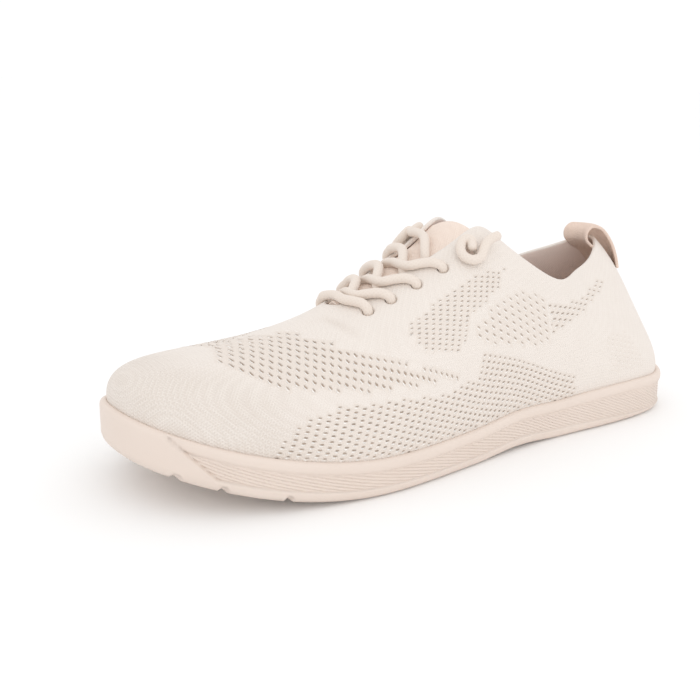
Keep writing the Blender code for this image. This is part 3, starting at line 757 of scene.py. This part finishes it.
sole_loops = []
for portion in (1.0, 0.6, 0.25, 0.0):
    plan = edge - outward * EDGE_INSET * portion
    lift = EDGE_RISE * (1 - portion)**2
    height = bottom(plan[:, 0]) + lift + slot_depth(plan[:, 0], plan[:, 1])
    sole_loops.append(np.column_stack([plan, height]))
for portion, swell in ((0.3, 0.5), (0.65, 0.95), (0.95, 1.0)):
    height = low_line + EDGE_RISE + (band_top - band_height - low_line - EDGE_RISE) * portion
    on_toe, _ = bumper_share(height)
    sole_loops.append(side_loop((BAND_PROUD + (LIP_PROUD - BAND_PROUD) * on_toe) * swell, height))
for step in range(RIB_ROWS + 1):
    height = band_top - band_height * (1 - step / RIB_ROWS)
    on_toe, step_down = bumper_share(height)
    phase = (height - high_line + rib_fall) / RIB_PITCH
    ridge = RIB_DEPTH * (np.abs(np.cos(np.pi * phase))**RIB_ROUNDNESS - RIB_MIDDLE)
    ends = smoothstep(0, RIB_END_ROWS[0], step) * smoothstep(0, RIB_END_ROWS[1], RIB_ROWS - step)
    ribbed = ridge * ends - RIB_SINK + BEHIND_BUMPER * step_down
    sole_loops.append(side_loop(ribbed * (1 - on_toe) + LIP_PROUD * on_toe, height))
LipRow = namedtuple("LipRow", "down proud")
LIP_PROFILE = [LipRow(*row) for row in (
    (4.7, -0.15), (4.2, 0.45), (3.4, 0.72), (2.2, 0.75), (1.2, 0.55), (0.5, 0.1), (0.1, -0.6), (0.0, -1.2),
    (0.0, -1.7))]
for row in LIP_PROFILE:
    height = high_line - row.down
    on_toe, step_down = bumper_share(height)
    on_bumper = LIP_PROUD if row.down > LIP_TURN else row.proud
    behind = row.proud + step_down * smoothstep(0, LIP_TURN, row.down)
    sole_loops.append(side_loop(behind * (1 - on_toe) + on_bumper * on_toe, height))
sole_loops.append(side_loop(-RIM_SEAT, high_line - SEAT_DROP))
cup_plan = edge - outward * RIM_SEAT
sole_loops.append(np.column_stack([cup_plan, bottom(cup_plan[:, 0]) + SOLE_THICKNESS]))
sole_points = np.vstack(sole_loops)


def ring_quads(loop_count, count):
    """Quads between closed loops of points that follow each other."""
    faces = []
    for loop_number in range(loop_count - 1):
        first, second = loop_number * count, (loop_number + 1) * count
        faces += [(first + i, first + (i + 1) % count, second + (i + 1) % count, second + i)
                  for i in range(count)]
    return faces


def weld(piece):
    """Merge doubled points and point all faces outwards."""
    only_active(piece)
    bpy.ops.object.mode_set(mode="EDIT")
    bpy.ops.mesh.select_all(action="SELECT")
    bpy.ops.mesh.remove_doubles(threshold=1e-6)
    bpy.ops.mesh.normals_make_consistent(inside=False)
    bpy.ops.object.mode_set(mode="OBJECT")


sole_faces = ring_quads(len(sole_loops), SOLE_STATIONS)
TREAD_COLUMNS = 20


def closing_grid(loop_number, lift, first_new):
    """Points and faces of a grid across the sole that closes a loop, from its outer to its inner half."""
    loop = sole_loops[loop_number]
    outer_count = (toe_station - heel_station) % SOLE_STATIONS + 1
    inner_count = (heel_station - toe_station) % SOLE_STATIONS + 1
    outer = [(heel_station + i) % SOLE_STATIONS for i in range(outer_count)]
    inner = [(heel_station - i) % SOLE_STATIONS for i in range(inner_count)]
    partner = np.round(np.linspace(0, len(inner) - 1, len(outer))).astype(int)
    inner = [inner[i] for i in partner]
    shares = np.linspace(0, 1, TREAD_COLUMNS + 2)[None, 1:-1, None]
    grid = loop[outer][:, None] * (1 - shares) + loop[inner][:, None] * shares
    grid[:, :, 2] = bottom(grid[:, :, 0]) + lift(grid[:, :, 0], grid[:, :, 1])
    base = loop_number * SOLE_STATIONS
    faces = []
    for line in range(len(outer) - 1):
        here, ahead = [base + outer[line]], [base + outer[line + 1]]
        here += [first_new + line * TREAD_COLUMNS + column for column in range(TREAD_COLUMNS)]
        ahead += [first_new + (line + 1) * TREAD_COLUMNS + column for column in range(TREAD_COLUMNS)]
        here.append(base + inner[line])
        ahead.append(base + inner[line + 1])
        for column in range(TREAD_COLUMNS + 1):
            corners = (here[column], ahead[column], ahead[column + 1], here[column + 1])
            face = tuple(dict.fromkeys(corners))
            if len(face) > 2:
                faces.append(face)
    return grid.reshape(-1, 3), faces


for loop_number, lift in ((0, slot_depth), (len(sole_loops) - 1, lambda along, across: SOLE_THICKNESS)):
    grid_points, grid_faces = closing_grid(loop_number, lift, len(sole_points))
    sole_points = np.vstack([sole_points, grid_points])
    sole_faces += grid_faces
sole = mesh_piece("outsole_rubber", sole_points, sole_faces)
weld(sole)

# Fine moulded skin of the rubber: soft mottling and a little grain
skin_group, group_in, group_out = new_group(
    "moulded_skin", [("Scale", "NodeSocketFloat", 60.0)],
    [("Mottle", "NodeSocketFloat"), ("Grain", "NodeSocketFloat")])
place = skin_group.nodes.new("ShaderNodeTexCoord")
for output, factor, detail in (("Mottle", 1.0, 3.0), ("Grain", 40.0, 2.0)):
    noise = skin_group.nodes.new("ShaderNodeTexNoise")
    noise.inputs["Detail"].default_value = detail
    skin_group.links.new(place.outputs["Object"], noise.inputs["Vector"])
    scale = math_node(skin_group, "MULTIPLY", group_in.outputs["Scale"], factor)
    skin_group.links.new(scale, noise.inputs["Scale"])
    skin_group.links.new(noise.outputs[0], group_out.inputs[output])

RUBBER = (0.79, 0.683, 0.612)
RUBBER_SHADE = (0.75, 0.637, 0.56)
rubber_material, tree, shader = principled("cream_rubber", RUBBER, 0.5)
skin = use_group(tree, skin_group, Scale=40.0)
tree.links.new(mix_colour(tree, skin.outputs["Mottle"], RUBBER_SHADE, RUBBER), shader.inputs["Base Color"])
gloss = math_node(tree, "MULTIPLY_ADD", skin.outputs["Mottle"], 0.2, 0.42)
tree.links.new(gloss, shader.inputs["Roughness"])
bump_into(tree, shader, skin.outputs["Grain"], 0.12, 0.0002)
sole.data.materials.append(rubber_material)
finish_piece(sole, "sole_rubber", "outsole")

# Insole: a thin footbed covered in the lining cloth, lying loose in the cup with a shallow heel seat.
INSOLE_THICKNESS = 3.0
INSOLE_CLEARANCE = 0.5
INSOLE_STATIONS = 240
INSOLE_RINGS = 10
HEEL_SEAT = 0.9
SEAT_ALONG = (60, 110)
insole_rows, _ = even_rows(INSOLE_STATIONS)
edge_line, outward_line = sole_edge(insole_rows)
insole_plan = edge_line - outward_line * (RIM_THICKNESS + GAP + WALL + INSOLE_CLEARANCE)
spine = np.column_stack([np.clip(insole_plan[:, 0], 30, 235), np.zeros(INSOLE_STATIONS)])
insole_loops = []
for share, lift in [(1.0, 0.0), (1.0, INSOLE_THICKNESS - 0.7), (0.99, INSOLE_THICKNESS - 0.15)] + [
        (share, INSOLE_THICKNESS) for share in np.linspace(0.97, 0.0, INSOLE_RINGS)]:
    plan = spine + (insole_plan - spine) * share
    hollow = (1 - share**2) * (1 - smoothstep(*SEAT_ALONG, plan[:, 0]))
    seat = HEEL_SEAT * hollow if lift == INSOLE_THICKNESS else 0
    insole_loops.append(np.column_stack([plan, bottom(plan[:, 0]) + SOLE_THICKNESS + GAP + lift - seat]))
insole_faces = ring_quads(len(insole_loops), INSOLE_STATIONS)
insole_faces.append(tuple(range(INSOLE_STATIONS))[::-1])
insole_points = np.vstack(insole_loops)
insole = mesh_piece("insole_cloth", insole_points, insole_faces)
weld(insole)
insole.data.materials.append(lining_material)
finish_piece(insole, "lining", "insole")

# Tongue: a soft knitted sheet under the throat, joined to the upper at its root and free at the top.
TONGUE_THICKNESS = 2.6
TONGUE_EDGE = 0.8
TONGUE_CLEARANCE = 0.4
TONGUE_SHARE = 0.30
TONGUE_TOP = 121.0
TONGUE_ROOT = 184.0
TONGUE_ARCH = 3.2
TONGUE_SECTIONS = 48
TONGUE_SIDE_POINTS = 9


def grid_quads(rows, columns):
    """Quads of an open grid of points."""
    corners = [row * columns + column for row in range(rows - 1) for column in range(columns - 1)]
    return [(corner, corner + 1, corner + columns + 1, corner + columns) for corner in corners]


def thicken(piece, thickness, offset, edge):
    """Give a sheet its thickness and rounded edges, in millimetres."""
    only_active(piece)
    thick = piece.modifiers.new("thickness", "SOLIDIFY")
    thick.thickness = thickness * MM
    thick.offset = offset
    bpy.ops.object.modifier_apply(modifier="thickness")
    rounded = piece.modifiers.new("soft_edge", "BEVEL")
    rounded.width = edge * MM
    rounded.segments = 3
    rounded.limit_method = "ANGLE"
    bpy.ops.object.modifier_apply(modifier="soft_edge")


tongue_shares = np.linspace(1 - TONGUE_SHARE, 1.0, TONGUE_SIDE_POINTS)
tongue_lines = []
for place in np.linspace(TONGUE_TOP, TONGUE_ROOT, TONGUE_SECTIONS):
    lines = []
    for side in (1, -1):
        row = np.full(TONGUE_SIDE_POINTS, throat_row(place, side))
        point, _, normal = wall_frame(row, tongue_shares)
        lines.append(point - normal * (WALL + TONGUE_CLEARANCE))
    first, second = lines[0][-1], lines[1][-1]
    bridge = []
    for part in np.linspace(0, 1, 9)[1:-1]:
        bridge.append(first * (1 - part) + second * part + [0, 0, TONGUE_ARCH * math.sin(math.pi * part)])
    tongue_lines.append(np.vstack([lines[0], bridge, lines[1][::-1]]))
tongue_grid = np.array(tongue_lines)
tongue_columns = tongue_grid.shape[1]
tongue_faces = grid_quads(TONGUE_SECTIONS, tongue_columns)
tongue = mesh_piece("tongue_knit", tongue_grid.reshape(-1, 3), tongue_faces)
thicken(tongue, TONGUE_THICKNESS, -1.0, TONGUE_EDGE)

TONGUE_PINK = (0.90, 0.775, 0.69)
TONGUE_SHADE = (0.82, 0.68, 0.59)
tongue.data.materials.append(cloth("tongue_pink", TONGUE_SHADE, TONGUE_PINK, 0.9, 1.3, 0.5, 0.0003))
finish_piece(tongue, "tongue_knit", "tongue")

# Lace: one round elastic cord with a braided sleeve, pulled through holes in the knit. A bar lies across
# the lowest holes, and above it the two halves cross in the throat and go down through the next pair.
CORD_DIAMETER = 4.2
CORD_CLEARANCE = 0.1
LACE_ARCH = 0.8
CORD_SIDES = 18
BAR_POINTS = 72
LACE_END_POINTS = 120
BRAID_STRANDS = 8
BRAID_TURNS = 5.5


def on_wall(place, side, share, lift):
    """Point above the wall at a place along the throat, lifted off its outer face."""
    point, _, normal = wall_frame([throat_row(place, side)], [share])
    return point[0] + normal[0] * lift


def smooth_route(stops, count):
    """Evenly spaced points on a smooth curve through a route's own points."""
    stops = np.asarray(stops, float)
    walk = walked(stops)
    dense = np.linspace(0, walk[-1], CURVE_SAMPLES)
    curve = np.stack([open_spline(walk, stops[:, axis], dense) for axis in range(3)], axis=1)
    travelled = walked(curve)
    even = np.linspace(0, travelled[-1], count)
    return np.stack([np.interp(even, travelled, curve[:, axis]) for axis in range(3)], axis=1)


def cord_tube(route, diameter):
    """Points, faces and UV of a round cord along a route, with rounded ends."""
    ahead = unit(np.gradient(route, axis=0))
    side = unit(np.cross(ahead[0], [0, 0, 1.0]))
    distance = walked(route)
    rings, uv = [], []
    turns = np.linspace(0, 2 * np.pi, CORD_SIDES, endpoint=False)
    for i in range(len(route)):
        side = unit(side - ahead[i] * (side @ ahead[i]))
        over = np.cross(side, ahead[i])
        from_end = min(distance[i], distance[-1] - distance[i])
        round_off = math.sqrt(max(0.05, 1 - (1 - min(1.0, from_end / 1.6))**2))
        radius = diameter / 2 * round_off
        rings.append(route[i] + radius * (np.cos(turns)[:, None] * side + np.sin(turns)[:, None] * over))
        uv += [(turn / (2 * np.pi), distance[i] / 10) for turn in turns]
    faces = ring_quads(len(rings), CORD_SIDES)
    faces.append(tuple(range(CORD_SIDES))[::-1])
    last = (len(rings) - 1) * CORD_SIDES
    faces.append(tuple(last + i for i in range(CORD_SIDES)))
    return np.vstack(rings), faces, uv


# Braided sleeve: two sets of strands crossing round the cord; its shade is painted shade in the grooves
# between them
braid_group, group_in, group_out = new_group(
    "braided_sleeve", [("UV", "NodeSocketVector", None)],
    [("Height", "NodeSocketFloat"), ("Shade", "NodeSocketFloat")])
split = braid_group.nodes.new("ShaderNodeSeparateXYZ")
braid_group.links.new(group_in.outputs["UV"], split.inputs[0])
braid_math = partial(math_node, braid_group)
round_way = braid_math("MULTIPLY", split.outputs[0], 2 * math.pi * BRAID_STRANDS)
long_way = braid_math("MULTIPLY", split.outputs[1], 2 * math.pi * BRAID_TURNS)
left = braid_math("SINE", braid_math("ADD", round_way, long_way))
right = braid_math("SINE", braid_math("SUBTRACT", round_way, long_way))
braid = braid_math("MULTIPLY_ADD", braid_math("MAXIMUM", left, right), 0.5, 0.5)
braid_group.links.new(braid, group_out.inputs["Height"])
braid_group.links.new(braid_math("MULTIPLY_ADD", braid, 0.6, 0.4), group_out.inputs["Shade"])

LACE_CREAM = (0.80, 0.71, 0.635)
lace_material, tree, shader = principled("lace_elastic", LACE_CREAM, 0.7)
sleeve = use_group(tree, braid_group, UV=uv_of(tree))
# The braid's grooves get painted shade, a darker cream than the cord
tree.links.new(mix_colour(tree, sleeve.outputs["Shade"], (0.74, 0.64, 0.565), LACE_CREAM),
               shader.inputs["Base Color"])
shader.inputs["Sheen Weight"].default_value = 0.1
bump_into(tree, shader, sleeve.outputs["Height"], 0.2, 0.0003)


def lace_piece(name, routes, node):
    """One visible stretch of the lace, of one or two strands."""
    all_points, all_faces, all_uv = [], [], []
    for stops in routes:
        strand, faces, uv = cord_tube(smooth_route(stops, BAR_POINTS), CORD_DIAMETER)
        all_faces += [tuple(len(all_points) + corner for corner in face) for face in faces]
        all_points += list(strand)
        all_uv += uv
    piece = mesh_piece(name, all_points, all_faces, all_uv)
    piece.data.materials.append(lace_material)
    finish_piece(piece, "lace", node)


cord_lift = CORD_DIAMETER / 2 + CORD_CLEARANCE


def into_eyelet(place, side, slant):
    """From the edge of the throat over the wall, slanting back to an eyelet and down into it."""
    share = 1 - EYELET_INSET
    return [on_wall(place + slant, side, 0.995, cord_lift),
            on_wall(place + slant * 0.62, side, 0.95, cord_lift),
            on_wall(place + slant * 0.25, side, 0.895, cord_lift - 0.2),
            on_wall(place + slant * 0.05, side, share + 0.012, cord_lift - 1.2),
            on_wall(place, side, share, -1.4),
            on_wall(place, side, share - 0.002, -4.0)]


def across_throat(stations, lift):
    """Point over the middle of the throat between two stations of its edges."""
    first, second = on_wall(stations[0], 1, 1.0, cord_lift), on_wall(stations[1], -1, 1.0, cord_lift)
    return (first + second) / 2 + np.array([0, 0, lift])


def under_edge(station, side, inset, sink):
    """Point where a strand comes up from under the edge of the throat."""
    edge_point = on_wall(station, side, 1.0, 0.0)
    return edge_point - np.array([0, side * inset, sink])


EDGE_SLANT = 16.5
BAR_SLANT = 12.0
lowest = EYELETS_ALONG[-1]
bar_stops = into_eyelet(lowest, 1, BAR_SLANT)[::-1]
bar_stops += [across_throat((lowest + BAR_SLANT, lowest + BAR_SLANT), LACE_ARCH)]
bar_stops += into_eyelet(lowest, -1, BAR_SLANT)
lace_piece("lace_bar_cord", [bar_stops], "lace_bar")
for number in range(1, 4):
    place = EYELETS_ALONG[number]
    edge_station = place + EDGE_SLANT
    outer = [under_edge(edge_station + 1, -1, 1.0, 5.5), under_edge(edge_station, -1, 4.5, -0.5),
             across_throat((edge_station, edge_station), 0.2)] + into_eyelet(place, 1, EDGE_SLANT)
    inner = [under_edge(edge_station + 2.5, 1, 0.5, 5.5), under_edge(edge_station + 1.5, 1, 4.0, -1.2),
             across_throat((edge_station - 3, edge_station - 8), 2.4)]
    inner += into_eyelet(place, -1, EDGE_SLANT - 9)
    strands = [outer, inner]
    if number == 1:
        top = EYELETS_ALONG[0]
        strands.append([under_edge(top + 21, 1, 0.5, 5.0), under_edge(top + 19, 1, 4.0, -1.2),
                        across_throat((top + 14, top + 9), 1.6)] + into_eyelet(top, -1, 7.0))
    lace_piece(f"lace_crossing_{number}_cord", strands, f"lace_crossing_{number}")

# Lace ends: each half comes out of its top hole and is tied off in a flat knot with a short blunt tail.
LaceEnd = namedtuple("LaceEnd", "collarward down lift")
LACE_END = [LaceEnd(*row) for row in (
    (0.3, 2.0, 2.6), (0.3, -0.8, 2.8), (-0.6, -3.4, 3.0), (-3.0, -3.2, 2.8), (-4.6, 0.6, 2.6),
    (-3.6, 4.6, 2.6), (0.0, 6.6, 2.6), (3.8, 5.2, 2.6), (5.2, 1.4, 2.8), (6.4, -1.8, 3.2), (9.2, -4.6, 3.4),
    (12.8, -6.6, 3.2))]
for name, side in (("lace_end_outer", 1), ("lace_end_inner", -1)):
    point, up, normal = wall_frame([throat_row(EYELETS_ALONG[0], side)], [1 - EYELET_INSET])
    down = -up[0]
    collar = np.cross(down, normal[0])
    collar = collar if collar[0] < 0 else -collar
    stops = [point[0] + collar * row.collarward + down * row.down + normal[0] * row.lift for row in LACE_END]
    route = smooth_route(stops, LACE_END_POINTS)
    strand, faces, uv = cord_tube(route, CORD_DIAMETER)
    end = mesh_piece(name + "_cord", strand, faces, uv)
    end.data.materials.append(lace_material)
    finish_piece(end, "lace", name)

# Heel loop: a woven ribbon sewn inside the heel, looped over the topline and sewn down again outside.
# It is straight across and bowed in plan, on the centre line of the solid it stands for.
TAB_WIDTH = 15.0
TAB_BOW_RADIUS = 7.0
TAB_ROW = -0.22
TAB_THICKNESS = 1.5
TAB_EDGE = 0.5
TAB_COLUMNS = 21
Ribbon = namedtuple("Ribbon", "share beyond lift")
INNER_LIFT = -(WALL + GAP + TAB_THICKNESS / 2)
OUTER_LIFT = GAP + TAB_THICKNESS / 2
RIBBON = [Ribbon(*row) for row in (
    (0.80, 0.0, INNER_LIFT), (0.90, 0.0, -3.7), (1.0, 0.8, -5.6), (1.0, 5.0, -5.4), (1.0, 7.2, -2.6),
    (1.0, 6.2, 1.8), (1.0, 1.6, 4.8), (0.90, 0.0, 5.0), (0.80, 0.0, 3.2), (0.72, 0.0, OUTER_LIFT))]
HEEL_SHARE = 0.9
HALF_ROW = 0.5
across = wall([TAB_ROW + HALF_ROW], [HEEL_SHARE])[0] - wall([TAB_ROW - HALF_ROW], [HEEL_SHARE])[0]
across = unit(across * (1, 1, 0))
toeward = np.array([across[1], -across[0], 0])
offsets = np.linspace(-TAB_WIDTH / 2, TAB_WIDTH / 2, TAB_COLUMNS)[:, None]
bow = across * offsets + toeward * offsets**2 / (2 * TAB_BOW_RADIUS)
ribbon_lines = []
for row in RIBBON:
    point, up, normal = wall_frame([TAB_ROW], [row.share])
    ribbon_lines.append(point[0] + up[0] * row.beyond + normal[0] * row.lift + bow)
ribbon_lines = np.array(ribbon_lines)
RIBBON_POINTS = 64
ribbon_curves = [smooth_route(ribbon_lines[:, column], RIBBON_POINTS) for column in range(TAB_COLUMNS)]
ribbon_points = np.stack(ribbon_curves, axis=1).reshape(-1, 3)
ribbon = mesh_piece("pull_tab_ribbon", ribbon_points, grid_quads(RIBBON_POINTS, TAB_COLUMNS))
thicken(ribbon, TAB_THICKNESS, 0.0, TAB_EDGE)

RIBBON_PINK = (0.86, 0.69, 0.59)
RIBBON_SHADE = (0.74, 0.57, 0.475)
ribbon.data.materials.append(cloth("ribbon_weave", RIBBON_SHADE, RIBBON_PINK, 0.75, 0.9, 0.6, 0.0003))
finish_piece(ribbon, "ribbon", "pull_tab")

# Floor: a wide pale plane that carries the shoe's soft contact shadow.
bpy.ops.mesh.primitive_plane_add(size=60.0, location=(0, 0, 0))
floor = bpy.context.active_object
floor.name = "studio_floor"
floor_material, tree, shader = principled("studio_white", (0.96, 0.96, 0.96), 0.9)
floor.data.materials.append(floor_material)

# Studio light: a white surround, a wide softbox overhead and a weaker one beside the camera.
world = bpy.data.worlds.new("studio")
bpy.context.scene.world = world
world.use_nodes = True
world.node_tree.nodes["Background"].inputs["Color"].default_value = (1.0, 1.0, 1.0, 1.0)
world.node_tree.nodes["Background"].inputs["Strength"].default_value = 1.05
SoftBox = namedtuple("SoftBox", "name place size power")
for box in (SoftBox("overhead_softbox", (0.1, 0.2, 1.3), 1.6, 0.6),
            SoftBox("front_softbox", (0.2, 1.4, 0.8), 1.2, 2.0)):
    light = bpy.data.lights.new(box.name, "AREA")
    light.size = box.size
    light.energy = box.power
    lamp = bpy.data.objects.new(box.name, light)
    lamp.location = box.place
    lamp.rotation_euler = (-Vector(box.place)).to_track_quat("-Z", "Y").to_euler()
    bpy.context.collection.objects.link(lamp)
bpy.context.scene.view_settings.view_transform = "Standard"

# Camera: beside the toe on the outer side, a little above the shoe, rolled slightly.
CAMERA_AIM = (0.5, -2.3, 40.0)
CAMERA_DISTANCE = 457.04
CAMERA_AZIMUTH = math.radians(54.51)
CAMERA_ELEVATION = math.radians(14.90)
CAMERA_ROLL = math.radians(1.22)
IMAGE_WIDTH = 700.0
FOCAL_PIXELS = 1008.66
CENTRE_PIXEL = (410.31, 347.96)
SENSOR = 36.0
backward = Vector((math.cos(CAMERA_ELEVATION) * math.cos(CAMERA_AZIMUTH),
                   math.cos(CAMERA_ELEVATION) * math.sin(CAMERA_AZIMUTH), math.sin(CAMERA_ELEVATION)))
level_right = (-backward).cross(Vector((0, 0, 1))).normalized()
level_up = level_right.cross(-backward)
right = math.cos(CAMERA_ROLL) * level_right + math.sin(CAMERA_ROLL) * level_up
upward_axis = math.cos(CAMERA_ROLL) * level_up - math.sin(CAMERA_ROLL) * level_right
camera_data = bpy.data.cameras.new("camera")
camera_data.sensor_width = SENSOR
camera_data.lens = FOCAL_PIXELS / IMAGE_WIDTH * SENSOR
camera_data.shift_x = (IMAGE_WIDTH / 2 - CENTRE_PIXEL[0]) / IMAGE_WIDTH
camera_data.shift_y = (CENTRE_PIXEL[1] - IMAGE_WIDTH / 2) / IMAGE_WIDTH
camera_data.clip_start = 0.01
camera = bpy.data.objects.new("camera", camera_data)
place = (Vector(CAMERA_AIM) + CAMERA_DISTANCE * backward) * MM
camera.matrix_world = Matrix(((right.x, upward_axis.x, backward.x, place.x),
                              (right.y, upward_axis.y, backward.y, place.y),
                              (right.z, upward_axis.z, backward.z, place.z), (0, 0, 0, 1)))
bpy.context.collection.objects.link(camera)
bpy.context.scene.camera = camera
